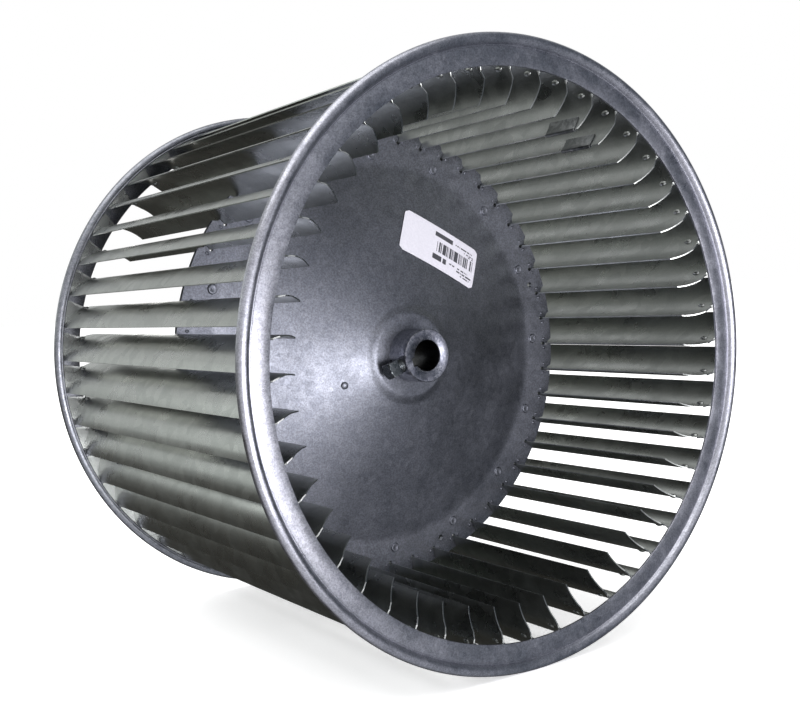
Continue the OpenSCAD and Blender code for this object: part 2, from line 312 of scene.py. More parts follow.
def galvanised(name, look):
    # zinc crystals, drawing lines along the strip, tarnish and a fine grain
    material, tree, shader = newMaterial(name)
    shader.inputs["Metallic"].default_value = 1.0
    coord = addNode(tree, "ShaderNodeTexCoord").outputs["Object"]
    bend = noise(tree, coord, 60.0, 2.0)
    warp = addNode(tree, "ShaderNodeVectorMath", {0: bend.outputs["Color"], 1: (0.006, 0.006, 0.006)},
                   operation="MULTIPLY")
    place = addNode(tree, "ShaderNodeVectorMath", {0: coord, 1: warp.outputs[0]}, operation="ADD")
    crystal = addNode(tree, "ShaderNodeTexVoronoi",
                      {"Vector": place.outputs[0], "Scale": look["crystalsPerMetre"]}, feature="F1")
    shade = addNode(tree, "ShaderNodeSeparateColor", {0: crystal.outputs["Color"]})
    stretch = addNode(tree, "ShaderNodeMapping", {"Vector": coord, "Scale": look["drawn"]})
    lines = noise(tree, stretch.outputs[0], 1.0, 5.0, 0.6)
    tarnish = noise(tree, coord, look["tarnishPerMetre"], 6.0, 0.62)
    grain = noise(tree, coord, look["grainPerMetre"], 3.0, 0.7)
    # colour: crystals first, then drawing lines, tarnish and speckle over them
    base = ramp(tree, shade.outputs[0], [(0.0, look["dark"]), (1.0, look["light"])])
    streak = ramp(tree, lines.outputs["Fac"], [(0.3, (0.82,) * 3), (0.7, (1.0,) * 3)])
    colour = tinted(tree, look["streaks"], base, streak)
    stain = ramp(tree, tarnish.outputs["Fac"], [(0.36, look["stain"]), (0.6, (1.0,) * 3)])
    colour = tinted(tree, look["stains"], colour, stain)
    speck = ramp(tree, grain.outputs["Fac"], [(0.38, (0.55,) * 3), (0.56, (1.0,) * 3), (0.7, (1.25,) * 3)])
    colour = tinted(tree, look["specks"], colour, speck)
    if look.get("tones"):
        own = addNode(tree, "ShaderNodeAttribute", attribute_name="tone")
        tint = ramp(tree, own.outputs["Fac"], [(0.0, (1 - look["tones"],) * 3), (1.0, (1.0,) * 3)])
        colour = tinted(tree, 1.0, colour, tint)
    if look.get("paintedShadeWithin"):
        # painted shade: nearly black inside the bore, by distance from the axle
        along = addNode(tree, "ShaderNodeSeparateXYZ", {0: coord})
        squares = [mathNode(tree, "POWER", along.outputs[i], 2) for i in (0, 2)]
        fromAxle = mathNode(tree, "SQRT", mathNode(tree, "ADD", *squares))
        boreShade = remapped(tree, fromAxle, look["paintedShadeWithin"], look["paintedShadeWithin"] + 0.0002, 0.06, 1.0)
        boreShaded = addNode(tree, "ShaderNodeVectorMath", {0: colour, 1: boreShade}, operation="MULTIPLY")
        colour = boreShaded.outputs[0]
    tree.links.new(colour, shader.inputs["Base Color"])
    rough = remapped(tree, shade.outputs[1], 0.0, 1.0, *look["rough"])
    worn = remapped(tree, tarnish.outputs["Fac"], 0.35, 0.65, 0.10, -0.04)
    tree.links.new(mathNode(tree, "ADD", rough, worn), shader.inputs["Roughness"])
    height = mathNode(tree, "MULTIPLY", crystal.outputs["Distance"], look["crystalHeight"])
    height = mathNode(tree, "ADD", height, mathNode(tree, "MULTIPLY", grain.outputs["Fac"], 0.25))
    drawnLines = mathNode(tree, "MULTIPLY", lines.outputs["Fac"], look["lineHeight"])
    height = mathNode(tree, "ADD", height, drawnLines)
    bump = addNode(tree, "ShaderNodeBump", {"Height": height, "Strength": look["bump"], "Distance": 0.0002})
    tree.links.new(bump.outputs[0], shader.inputs["Normal"])
    if look.get("spun"):
        # rolling lines run round the axle, so highlights stretch along the radius
        flat = addNode(tree, "ShaderNodeVectorMath", {0: coord, 1: (1, 0, 1)}, operation="MULTIPLY")
        radial = addNode(tree, "ShaderNodeVectorMath", {0: flat.outputs[0]}, operation="NORMALIZE")
        tree.links.new(radial.outputs[0], shader.inputs["Tangent"])
        shader.inputs["Anisotropic"].default_value = look["spun"]
    return material


def printedLabel(name, look):
    # white film with a bold line, bars and rows of small print, all made of plain blocks
    material, tree, shader = newMaterial(name)
    shader.inputs["Roughness"].default_value = 0.42
    shader.inputs["Coat Weight"].default_value = 0.15
    uv = addNode(tree, "ShaderNodeSeparateXYZ", {0: addNode(tree, "ShaderNodeTexCoord").outputs["UV"]})
    u, v = mathNode(tree, "SUBTRACT", 1.0, uv.outputs[0]), uv.outputs[1]

    def inside(value, low, high):
        above = mathNode(tree, "GREATER_THAN", value, low)
        below = mathNode(tree, "LESS_THAN", value, high)
        return mathNode(tree, "MULTIPLY", above, below)

    def block(u0, u1, v0, v1):
        return mathNode(tree, "MULTIPLY", inside(u, u0, u1), inside(v, v0, v1))

    def broken(perLabel, share, seed):
        # print broken into short runs along the line
        cell = mathNode(tree, "FLOOR", mathNode(tree, "MULTIPLY", u, perLabel))
        chance = addNode(tree, "ShaderNodeTexWhiteNoise", {"W": mathNode(tree, "ADD", cell, seed)},
                         noise_dimensions="1D")
        return mathNode(tree, "LESS_THAN", chance.outputs["Value"], share)

    ink = None
    for u0, u1, v0, v1, perLabel, share, seed in look["print"]:
        row = mathNode(tree, "MULTIPLY", block(u0, u1, v0, v1), broken(perLabel, share, seed))
        ink = row if ink is None else mathNode(tree, "MAXIMUM", ink, row)
    fade = noise(tree, addNode(tree, "ShaderNodeTexCoord").outputs["Object"], 900.0, 3.0)
    paper = ramp(tree, fade.outputs["Fac"], [(0.3, look["paperDark"]), (0.7, look["paper"])])
    printed = addNode(tree, "ShaderNodeMix", {0: ink, 6: paper, 7: (*look["ink"], 1)}, data_type="RGBA")
    tree.links.new(printed.outputs[2], shader.inputs["Base Color"])
    bump = addNode(tree, "ShaderNodeBump", {"Height": fade.outputs["Fac"], "Strength": 0.12,
                                            "Distance": 0.0001})
    tree.links.new(bump.outputs[0], shader.inputs["Normal"])
    return material


ringLook = {"dark": (0.42, 0.425, 0.47), "light": (0.50, 0.505, 0.55), "stain": (0.80, 0.81, 0.85),
            "rough": (0.30, 0.36), "crystalsPerMetre": 420.0, "drawn": (90, 90, 900), "tarnishPerMetre": 60.0,
            "grainPerMetre": 1500.0, "streaks": 0.25, "stains": 0.25, "specks": 0.75, "crystalHeight": 0.1,
            "lineHeight": 0.1, "bump": 0.14, "spun": 0.5}
# the rear ring is the same galvanised steel as the front ring, with its colours painted darker as shade
rearRingShadedLook = {**ringLook, "dark": (0.24, 0.25, 0.275), "light": (0.33, 0.34, 0.365)}
bladeLook = {"dark": (0.42, 0.435, 0.42), "light": (0.50, 0.515, 0.495), "stain": (0.80, 0.82, 0.80),
             "rough": (0.25, 0.31), "crystalsPerMetre": 150.0, "drawn": (420, 9, 420),
             "tarnishPerMetre": 30.0, "grainPerMetre": 1300.0, "streaks": 0.3, "stains": 0.3,
             "specks": 0.2, "crystalHeight": 0.0, "lineHeight": 0.05, "bump": 0.02, "tones": 0.15}
discLook = {"dark": (0.225, 0.235, 0.27), "light": (0.265, 0.275, 0.31), "stain": (0.86, 0.87, 0.89),
            "rough": (0.40, 0.45), "crystalsPerMetre": 330.0, "drawn": (14, 14, 300), "tarnishPerMetre": 22.0,
            "grainPerMetre": 1100.0, "streaks": 0.05, "stains": 0.15, "specks": 0.7, "crystalHeight": 0.05,
            "lineHeight": 0.1, "bump": 0.12, "spun": 0.3}
hubLook = {"dark": (0.22, 0.23, 0.28), "light": (0.46, 0.47, 0.52), "stain": (0.55, 0.55, 0.6),
           "rough": (0.28, 0.40), "crystalsPerMetre": 900.0, "drawn": (300, 2600, 300),
           "tarnishPerMetre": 150.0, "grainPerMetre": 2400.0, "streaks": 0.6, "stains": 0.5, "specks": 0.8,
           "crystalHeight": 0.2, "lineHeight": 0.4, "bump": 0.35,
           "paintedShadeWithin": 0.0083}      # metres from the axle; inside it the colour is painted dark as the bore's shade
screwLook = {"dark": (0.17, 0.19, 0.20), "light": (0.34, 0.36, 0.37), "stain": (0.5, 0.5, 0.5),
             "rough": (0.22, 0.34), "crystalsPerMetre": 1200.0, "drawn": (500, 500, 500),
             "tarnishPerMetre": 200.0, "grainPerMetre": 2600.0, "streaks": 0.3, "stains": 0.6,
             "specks": 0.6, "crystalHeight": 0.2, "lineHeight": 0.2, "bump": 0.3}
clipLook = {"dark": (0.17, 0.18, 0.18), "light": (0.30, 0.31, 0.31), "stain": (0.6, 0.6, 0.6),
            "rough": (0.28, 0.4), "crystalsPerMetre": 500.0, "drawn": (700, 60, 700),
            "tarnishPerMetre": 90.0, "grainPerMetre": 1900.0, "streaks": 0.7, "stains": 0.5, "specks": 0.4,
            "crystalHeight": 0.2, "lineHeight": 0.5, "bump": 0.3}
labelLook = {"paper": (0.62, 0.61, 0.67), "paperDark": (0.56, 0.55, 0.61), "ink": (0.05, 0.05, 0.06),
             # from, to along the label; from, to across it; cells along it, share inked, pattern
             "print": [(0.40, 0.64, 0.765, 0.875, 44, 0.86, 3), (0.44, 0.955, 0.40, 0.66, 150, 0.56, 17),
                       (0.40, 0.585, 0.19, 0.32, 52, 0.80, 31), (0.68, 0.93, 0.80, 0.835, 95, 0.62, 47),
                       (0.80, 0.95, 0.73, 0.76, 95, 0.60, 59), (0.83, 0.95, 0.69, 0.715, 95, 0.64, 71),
                       (0.62, 0.90, 0.26, 0.295, 95, 0.60, 83), (0.74, 0.96, 0.185, 0.225, 95, 0.68, 97),
                       (0.80, 0.94, 0.12, 0.15, 95, 0.62, 101)]}
ringSteel = galvanised("galvanised ring", ringLook)
rearRingShadedSteel = galvanised("ring galvanising painted darker for shade", rearRingShadedLook)
bladeSteel = galvanised("galvanised blade strip", bladeLook)
discSteel = galvanised("galvanised disc", discLook)
hubSteel = galvanised("turned hub", hubLook)
screwSteel = galvanised("zinc plated screw", screwLook)
clipSteel = galvanised("spring clip", clipLook)
labelFilm = printedLabel("printed film", labelLook)
print("finishes ready")


# end rings

endRing = {
    "innerRadius": 135.7, "sheet": 1.2, "flatTo": 144.1,
    "step": ((0.25, 0.07), (0.5, 0.3), (0.8, 0.36), (1.05, 0.28)),   # out from the flat, down from the face
    "beadRadius": 148.05, "beadSize": 2.75, "beadBack": 0.6,         # beadBack: bead centre behind the face
    "beadStart": 168.0, "lipAngle": -142.0, "beadPoints": 36, "lipSheet": 0.8, "lipTurn": 4,
    "seam": (-116, -98), "seamDepth": 0.55,                          # where the curled edge closes
    "hemRadius": 148.5, "hemDepth": 0.70, "hemBend": (0.6, 0.72),
    "backInset": 6, "edgeRound": 0.18, "edgeCorner": 0.3,
    "steps": 288,
}


def ringOutline(r):
    face = wheel["halfWidth"]
    back = face - r["sheet"]
    e = r["edgeRound"]
    corner = e * r["edgeCorner"]
    inner = r["innerRadius"]
    centre = Vector((r["beadRadius"], face - r["beadBack"]))
    points = [(inner, back + e), (inner, face - e), (inner + corner, face - corner), (inner + e, face)]
    points += [(inner + (r["flatTo"] - inner) * 0.5, face), (r["flatTo"], face)]
    points += [(r["flatTo"] + out, face - down) for out, down in r["step"]]
    for i in range(r["beadPoints"]):
        a = r["beadStart"] + (r["lipAngle"] - r["beadStart"]) * i / (r["beadPoints"] - 1)
        inSeam = r["seam"][0] < a < r["seam"][1]
        p = centre + polar(r["beadSize"] - (r["seamDepth"] if inSeam else 0), a)
        points.append((p.x, p.y))
    inward = centre + polar(r["beadSize"] - r["lipSheet"], r["lipAngle"] + r["lipTurn"])
    points += [(inward.x, inward.y), (inward.x + r["hemBend"][0], back - r["hemBend"][1])]
    points += [(r["hemRadius"], back - r["hemDepth"]), (r["hemRadius"], back), (inner + r["backInset"], back)]
    points += [(inner + e, back), (inner + corner, back + corner)]
    return points


def makeRing(name, side, material):
    ring = turned(name, ringOutline(endRing), material, endRing["steps"])
    if side < 0:
        ring.data.transform(Matrix.Scale(-1, 4, (0, 1, 0)))
        ring.data.flip_normals()
    smooth(ring.data, 24)
    return ring


frontRing = makeRing("frontRing", 1, ringSteel)
rearRing = makeRing("rearRing", -1, rearRingShadedSteel)
print("end rings turned")


# blades

blade = {
    "sheet": 0.6, "innerRadius": 119.4, "outerRadius": 146.0, "sweep": 6.5, "camber": 20.9,
    "cornerLength": 6.5, "cornerDepth": 11.0,
    "footHeight": 118.4, "footRadius": 148.3, "footTip": 134.5,
    "notchRadius": 144.8, "notchHeight": 115.95, "notchWidth": 2.5,
    "dimpleAt": 47.0, "dimpleHeight": 111.35, "dimpleSize": (1.25, 1.45, 2.3), "dimpleSink": 0.15,
    "columns": 26, "markGap": 0.7, "notchStep": 0.02,     # degrees between columns, mm each side of the notch
    "rows": (-1, -0.9, -0.5, 0, 0.5, 0.9, 1),             # share of the half length
    "edgeRound": 0.12, "bend": 1.1, "bendSegments": 3, "footPoints": 6,
}


def camberCentre(b):
    inside = Vector((b["innerRadius"], 0))
    outside = polar(b["outerRadius"], b["sweep"])
    chord = outside - inside
    left = Vector((-chord.y, chord.x)).normalized()
    return (inside + outside) / 2 + left * math.sqrt(b["camber"] ** 2 - (chord.length / 2) ** 2)


def camberAngle(b, radius, offset=0.0):
    # direction from the camber's centre to where the sheet, or a line offset from it, crosses this radius
    centre = camberCentre(b)
    away, reach = centre.length, b["camber"] + offset
    c = (radius ** 2 - away ** 2 - reach ** 2) / (2 * away * reach)
    return math.degrees(math.atan2(centre.y, centre.x)) - math.degrees(math.acos(c))


def bladeMesh(b):
    centre = camberCentre(b)
    low, high = camberAngle(b, b["innerRadius"]), camberAngle(b, b["outerRadius"])
    marks = [camberAngle(b, radius) for radius in (
        b["innerRadius"] + b["cornerDepth"], b["footTip"],
        b["notchRadius"] - b["notchStep"], b["notchRadius"] + b["notchStep"])]
    spread = [low + (high - low) * i / b["columns"] for i in range(b["columns"] + 1)]
    spread = [a for a in spread if all(abs(a - m) > b["markGap"] for m in marks)]
    angles = sorted(marks + spread + [high])
    columns = []
    for a in angles:
        p = centre + polar(b["camber"], a)
        r = p.length
        end = b["footHeight"] - b["sheet"] / 2
        if r < b["innerRadius"] + b["cornerDepth"]:
            end -= b["cornerLength"] * (1 - (r - b["innerRadius"]) / b["cornerDepth"])
        if r > b["notchRadius"]:
            end = b["notchHeight"]
        columns.append((p, r, end))
    bm = bmesh.new()
    last = len(b["rows"]) - 1
    grid = [[bm.verts.new((p.x * mm, p.y * mm, end * t * mm)) for t in b["rows"]] for p, r, end in columns]
    for i in range(len(grid) - 1):
        for j in range(last):
            bm.faces.new((grid[i][j], grid[i][j + 1], grid[i + 1][j + 1], grid[i + 1][j]))
    # the foot at each end shares the sheet's edge and folds back on the bulging side
    back = b["sweep"] - bladePitch + math.degrees(b["notchWidth"] / b["outerRadius"])
    held = [i for i, (p, r, end) in enumerate(columns) if b["footTip"] - 0.05 < r < b["notchRadius"]]
    for side, row in ((1, last), (-1, 0)):
        z = side * (b["footHeight"] - b["sheet"] / 2) * mm
        flat = [polar(b["outerRadius"], b["sweep"])]
        for i in range(b["footPoints"]):
            flat.append(polar(b["footRadius"], b["sweep"] + (back - b["sweep"]) * i / (b["footPoints"] - 1)))
        flat += [polar(b["notchRadius"], back)]
        ring = [grid[i][row] for i in held] + [bm.verts.new((p.x * mm, p.y * mm, z)) for p in flat]
        bm.faces.new(ring if side > 0 else ring[::-1])
    bends = [e for e in bm.edges if len(e.link_faces) == 2 and max(len(f.verts) for f in e.link_faces) > 4]
    bmesh.ops.bevel(bm, geom=bends, offset=b["bend"] * mm, segments=b["bendSegments"], profile=0.5,
                    affect="EDGES")
    bmesh.ops.recalc_face_normals(bm, faces=bm.faces)
    piece = meshObject("bladeSheet", meshFromBmesh("bladeSheet", bm, outward=False))
    thick = piece.modifiers.new("sheet", "SOLIDIFY")
    thick.thickness = b["sheet"] * mm
    thick.offset = 0
    thick.use_even_offset = True
    soft = piece.modifiers.new("edge", "BEVEL")
    soft.width = b["edgeRound"] * mm
    soft.segments = 1
    soft.limit_method = "ANGLE"
    soft.angle_limit = math.radians(60)
    sheet = evaluated(piece)
    # pressed dimples on the hollow side
    a = low + b["dimpleAt"]
    drops = bmesh.new()
    for side in (-1, 1):
        p = centre + polar(b["camber"] - b["sheet"] / 2 + b["dimpleSink"], a)
        place = Matrix.Translation((p.x * mm, p.y * mm, side * b["dimpleHeight"] * mm))
        place = place @ Matrix.Rotation(math.radians(a), 4, "Z")
        place = place @ Matrix.Diagonal((*(size * mm for size in b["dimpleSize"]), 1))
        bmesh.ops.create_uvsphere(drops, u_segments=12, v_segments=8, radius=1.0, matrix=place)
    dimples = meshFromBmesh("bladeDimples", drops)
    whole = joinMeshes("blade", [sheet, dimples])
    bpy.data.objects.remove(piece)
    smooth(whole, 25)
    return whole


blades = repeated("bladeCage", bladeMesh(blade), bladeSteel, wheel["blades"], wheel["firstBlade"], bladePitch)
print("blades set:", len(blades.data.polygons), "faces")


# centre disc

disc = {
    "rimRadius": 126.0, "sheet": 1.2, "nest": 1.25,
    "foldRadius": 107.6, "foldRound": 5.0, "foldSteps": 5, "dishSteps": 8,
    "dishHeight": 25.1, "bossRadius": 24.6, "bossHeight": 2.4, "bossRound": 2.0, "bore": 12.75,
    "shoulderOut": 1.2, "plateau": 21.6, "shoulderSteps": 20, "flatRing": 18.0,
    "sectorStart": -2.9, "sectorSteps": 6,             # sectorStart: degrees from a blade's inner edge
    "slotBottom": 119.2, "slotHole": 1.1, "slotGap": 0.15, "holeShare": 0.95, "holeSteps": 12,
    "flareRadius": 122.6, "flareLip": 1, "flareBack": 0.3, "flareAngle": 0.62,
    "mouth": 2.7, "rimCorner": 0.3, "rimTurn": 0.15,   # rimCorner in mm, rimTurn in degrees
    "clinchRadius": 111.0, "clinchAngle": 0.4, "clinches": 16, "clinchSize": 2.6, "clinchHeight": 0.9,
    "clinchRound": 0.5, "clinchSkirt": ((0.3, -0.05), (0.0, 0.2)), "clinchDip": ((1.3, 0.02), (0.9, 0.14)),
    "clinchPocket": 1.45, "pocketRoof": 0.6, "pocketSkin": 0.02, "pocketCorner": ((0.12, 0.25), (0.4, 0.0)),
    "holePoints": 20,
    "pilotRadius": 115.7, "pilotAngle": 16.9, "pilotSize": 1.6,
    "pipRadius": 41.4, "pipAngle": 198.6, "pipSize": 2.1, "pipHeight": 1.0, "pipSkirt": (0.35, -0.25),
    "pipSteps": (0, 15, 30, 45, 60, 75, 86), "pipSink": 0.3,
    "stakeRadius": 120.4, "stakeAngles": (-1.35, 1.35), "stakeSize": (1.3, 0.8, 1),
    "stakeOutline": [(1.0, -0.05), (0.9, 0.22), (0.6, 0.42), (0.25, 0.5)],
    "seamWeld": 0.04,                                  # rim and dish are joined within this distance
}


def dishSlope(d):
    return d["dishHeight"] / (d["foldRadius"] - d["bossRadius"] - d["bossRound"])


def dishOutline(d):
    # half section from the fold to the bore and back along the underside
    top = d["sheet"] + d["dishHeight"] + d["bossHeight"]
    shoulder = d["bossRadius"] + d["bossRound"] + d["shoulderOut"]
    slope = dishSlope(d)
    outer = [(d["foldRadius"], d["sheet"])]
    for i in range(1, d["foldSteps"] + 1):          # soft fold
        x = d["foldRound"] * i / d["foldSteps"]
        outer.append((d["foldRadius"] - x, d["sheet"] + slope * x * x / (2 * d["foldRound"])))
    drop = slope * d["foldRound"] / 2
    for i in range(1, d["dishSteps"] + 1):
        share = i / d["dishSteps"]
        r = d["foldRadius"] - d["foldRound"] + (shoulder - d["foldRadius"] + d["foldRound"]) * share
        outer.append((r, d["sheet"] + slope * (d["foldRadius"] - r) - drop * (1 - share)))
    startZ = outer[-1][1]
    # a soft slope up to the boss, eased in from the dish and out onto its flat
    rise = top - startZ
    width = shoulder - d["plateau"]
    entry = slope * width / rise
    for i in range(1, d["shoulderSteps"]):
        t = i / d["shoulderSteps"]
        ease = entry * t + (3 - 2 * entry) * t ** 2 + (entry - 2) * t ** 3
        outer.append((shoulder - width * t, startZ + rise * ease))
    outer += [(d["flatRing"], top), (d["bore"], top)]
    return outer + [(r, z - d["sheet"]) for r, z in reversed(outer)]


def rimSector(d, b, start, pilot, pocket):
    # flat outline of one blade pitch of the rim, as loops of points

    def onArc(offset, radius):
        return camberCentre(b) + polar(b["camber"] + offset, camberAngle(b, radius, offset))

    def angleOf(p):
        return math.degrees(math.atan2(p.y, p.x))

    def arc(middle, radius, fromAngle, toAngle, steps):
        turn = toAngle - fromAngle
        return [middle + polar(radius, fromAngle + turn * i / steps) for i in range(steps + 1)]

    axle = Vector((0, 0))
    gap = b["sheet"] / 2 + d["slotGap"]
    mouthAngle = math.degrees(d["mouth"] / d["rimRadius"])
    end = start + bladePitch
    loop = arc(axle, d["foldRadius"], start, end, d["sectorSteps"])
    loop += arc(axle, d["rimRadius"], end, mouthAngle + d["rimTurn"], 4)
    loop += [polar(d["rimRadius"] - d["rimCorner"], mouthAngle),
             polar(d["flareRadius"] + d["flareLip"], d["flareAngle"]),
             onArc(-gap, d["flareRadius"] + d["flareBack"])]
    # round bottom of the slot
    top = onArc(-gap, d["slotBottom"] + d["slotHole"] * d["holeShare"])
    bottom = onArc(gap, d["slotBottom"] + d["slotHole"] * d["holeShare"])
    hole = Vector((d["slotBottom"], 0))
    fromAngle, toAngle = angleOf(top - hole), angleOf(bottom - hole)
    if toAngle < fromAngle:
        toAngle += 360
    loop += [top] + arc(hole, d["slotHole"], fromAngle, toAngle, d["holeSteps"])[1:-1]
    loop += [bottom, onArc(gap, d["flareRadius"])]
    edge = onArc(gap, d["rimRadius"] - d["rimCorner"])
    loop += [edge] + arc(axle, d["rimRadius"], angleOf(edge) - d["rimTurn"], start, 2)
    loops = [loop]
    for angle, radius, size in ((pilot, d["pilotRadius"], d["pilotSize"]),
                                (pocket, d["clinchRadius"], d["clinchPocket"])):
        if angle is not None:
            loops.append(arc(polar(radius, angle), size, 0, 360, d["holePoints"])[:-1])
    return loops


def rimQuarter(d, b, drop, pockets):
    start = d["sectorStart"]
    bm = bmesh.new()
    for k in range(wheel["blades"] // 4):
        phase = wheel["firstBlade"] + k * bladePitch
        pilot = (d["pilotAngle"] - phase - start) % 90 + start
        pocket = (d["clinchAngle"] - phase - start) % (360 / d["clinches"]) + start
        if pilot >= start + bladePitch:
            pilot = None
        if not pockets or pocket >= start + bladePitch:
            pocket = None
        edges = []
        for loop in rimSector(d, b, start, pilot, pocket):
            turn = Matrix.Rotation(math.radians(k * bladePitch), 2)
            ring = [bm.verts.new((*(turn @ p) * mm, (d["sheet"] - drop) * mm)) for p in loop]
            edges += [bm.edges.new((ring[i], ring[(i + 1) % len(ring)])) for i in range(len(ring))]
        bmesh.ops.triangle_fill(bm, use_beauty=True, edges=edges)
    bmesh.ops.remove_doubles(bm, verts=bm.verts, dist=1e-6)
    bmesh.ops.recalc_face_normals(bm, faces=bm.faces)
    if sum(f.normal.z for f in bm.faces) < 0:
        bmesh.ops.reverse_faces(bm, faces=bm.faces)
    top = list(bm.faces)
    lower = bmesh.ops.duplicate(bm, geom=top + list(bm.edges) + list(bm.verts))["geom"]
    lowerVerts = [g for g in lower if isinstance(g, bmesh.types.BMVert)]
    lowerFaces = [g for g in lower if isinstance(g, bmesh.types.BMFace)]
    for v in lowerVerts:
        v.co.z -= d["sheet"] * mm
    bmesh.ops.reverse_faces(bm, faces=lowerFaces)

    def spot(v):
        return round(v.co.x * 1e7), round(v.co.y * 1e7)

    # walls along every free edge but the two ends of the quarter and the fold
    below = {spot(v): v for v in lowerVerts}
    for face in top:
        for loop in face.loops:
            if len(loop.edge.link_faces) != 1:
                continue
            a, c = loop.vert, loop.link_loop_next.vert
            middle = (a.co + c.co) / 2
            radius = Vector((middle.x, middle.y)).length / mm
            angle = math.degrees(math.atan2(middle.y, middle.x))
            if radius < d["foldRadius"] + 0.02 or abs(angle - start) < 0.01 or abs(angle - start - 90) < 0.01:
                continue
            bm.faces.new((c, a, below[spot(a)], below[spot(c)]))
    return meshFromBmesh("rimQuarter", bm, outward=False)


def makeDisc(name, drop, pockets):
    outline = [(r, z - drop) for r, z in dishOutline(disc)]
    # the dish's steps fall in line with the vertices along the rim's inner edge
    dish = turned(name + "Dish", outline, discSteel, wheel["blades"] * disc["sectorSteps"])
    dish.data.transform(Matrix.Rotation(math.radians(-(wheel["firstBlade"] + disc["sectorStart"])), 4, "Y"))
    quarter = rimQuarter(disc, blade, drop, pockets)
    rim = repeated(name + "Rim", quarter, discSteel, 4, wheel["firstBlade"], 90)
    bm = bmesh.new()
    bm.from_mesh(dish.data)
    seam = [f for f in bm.faces if all(abs(math.hypot(v.co.x, v.co.z) / mm - disc["foldRadius"]) < 0.01
                                       for v in f.verts)]
    bmesh.ops.delete(bm, geom=seam, context="FACES")
    bm.from_mesh(rim.data)
    bmesh.ops.remove_doubles(bm, verts=bm.verts, dist=disc["seamWeld"] * mm)
    bmesh.ops.recalc_face_normals(bm, faces=bm.faces)
    free = sum(1 for e in bm.edges if len(e.link_faces) != 2)
    mesh = bpy.data.meshes.new(name)
    bm.to_mesh(mesh)
    bm.free()
    for old in (dish, rim):
        bpy.data.objects.remove(old)
    piece = meshObject(name, mesh)
    mesh.materials.append(discSteel)
    print(name, len(mesh.polygons), "faces,", free, "free edges")
    return piece


def lathed(name, outline, place, steps=24, angle=40):
    # a small closed cap turned round z from (radius, height) points, then placed
    bm = bmesh.new()
    rows = []
    for r, z in outline:
        rows.append([bm.verts.new((*polar(r * mm, 360 * i / steps), z * mm)) for i in range(steps)])
    bridgeRings(bm, rows)
    bm.transform(place)
    mesh = meshFromBmesh(name, bm)
    smooth(mesh, angle)
    return mesh


def clinchMesh(d):
    r, h, soft = d["clinchSize"], d["sheet"] + d["clinchHeight"], d["clinchRound"]
    outline = [(r + out, d["sheet"] + up) for out, up in d["clinchSkirt"]]
    outline += [tuple(Vector((r - soft, h - soft)) + polar(soft, a)) for a in (0, 18, 36, 54, 72, 90)]
    outline += [(at, h - down) for at, down in d["clinchDip"]]
    return lathed("clinch", outline, Matrix.Translation((d["clinchRadius"] * mm, 0, 0)))


def cupMesh(d):
    # underside of a clinch: a small blind pocket, open below, that lines the hole in the rear disc
    top = d["sheet"] + d["clinchHeight"] - d["pocketRoof"] - d["nest"]
    outline = [(d["clinchPocket"], -d["nest"] + d["pocketSkin"])]
    outline += [(d["clinchPocket"] - inwards, top - down) for inwards, down in d["pocketCorner"]]
    mesh = lathed("clinchCup", outline, Matrix.Translation((d["clinchRadius"] * mm, 0, 0)))
    bm = bmesh.new()
    bm.from_mesh(mesh)
    mouth = min(bm.faces, key=lambda face: face.calc_center_median().z)
    bm.faces.remove(mouth)
    bmesh.ops.reverse_faces(bm, faces=bm.faces)
    bm.to_mesh(mesh)
    bm.free()
    return mesh


def stakeMesh(d):
    # two shallow punch marks beside the mouth of a slot, raised by the punch
    pair = []
    for degrees in d["stakeAngles"]:
        p = polar(d["stakeRadius"] * mm, degrees)
        place = Matrix.Translation((p.x, p.y, d["sheet"] * mm))
        place = place @ Matrix.Rotation(math.radians(degrees), 4, "Z")
        place = place @ Matrix.Diagonal((*d["stakeSize"], 1))
        pair.append(lathed("stake", d["stakeOutline"], place, steps=12, angle=60))
    return joinMeshes("stakes", pair)


def pipMesh(d):
    # a pip pressed out of the dish, square to its slope
    slope = dishSlope(d)
    z = d["sheet"] + slope * (d["foldRadius"] - d["pipRadius"]) - slope * d["foldRound"] / 2 * d["pipSink"]
    r, h = d["pipSize"], d["pipHeight"]
    outline = [(r + d["pipSkirt"][0], d["pipSkirt"][1])]
    outline += [(r * math.cos(math.radians(a)), h * math.sin(math.radians(a))) for a in d["pipSteps"]]
    place = Matrix.Rotation(math.radians(d["pipAngle"]), 4, "Z")
    place = place @ Matrix.Translation((d["pipRadius"] * mm, 0, z * mm))
    return lathed("pip", outline, place @ Matrix.Rotation(math.atan(slope), 4, "Y"))


def addMesh(piece, other):
    merged = joinMeshes(piece.name, [piece.data, other.data])
    for material in piece.data.materials:
        merged.materials.append(material)
    piece.data = merged
    bpy.data.objects.remove(other)


frontDisc = makeDisc("frontDisc", 0.0, False)
smooth(frontDisc.data, 24)
clinchPitch = 360 / disc["clinches"]
addMesh(frontDisc, repeated("clinches", clinchMesh(disc), discSteel, disc["clinches"], disc["clinchAngle"],
                            clinchPitch))
addMesh(frontDisc, repeated("stakes", stakeMesh(disc), discSteel, wheel["blades"], wheel["firstBlade"],
                            bladePitch))
pip = meshObject("pip", pipMesh(disc))
pip.data.transform(onAxle)
addMesh(frontDisc, pip)
rearDisc = makeDisc("rearDisc", disc["nest"], True)
smooth(rearDisc.data, 24)
addMesh(rearDisc, repeated("clinchCups", cupMesh(disc), discSteel, disc["clinches"], disc["clinchAngle"],
                           clinchPitch))
print("discs pressed and clinched")


# hub, screw, clips and label

def copyOfNode(name, node, material, degrees, edge=0.0):
    # a welded, softened copy of a carried-over solid
    bm = bmesh.new()
    bm.from_mesh(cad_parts[node].data)
    mesh = meshFromBmesh(name, bm, weld=2e-6, outward=False)
    mesh.materials.clear()
    mesh.materials.append(material)
    piece = meshObject(name, mesh)
    if edge:
        soft = piece.modifiers.new("edge", "BEVEL")
        soft.width = edge * mm
        soft.segments = 2
        soft.limit_method = "ANGLE"
        soft.angle_limit = math.radians(35)
        mesh = evaluated(piece)
    smooth(mesh, degrees)
    return piece


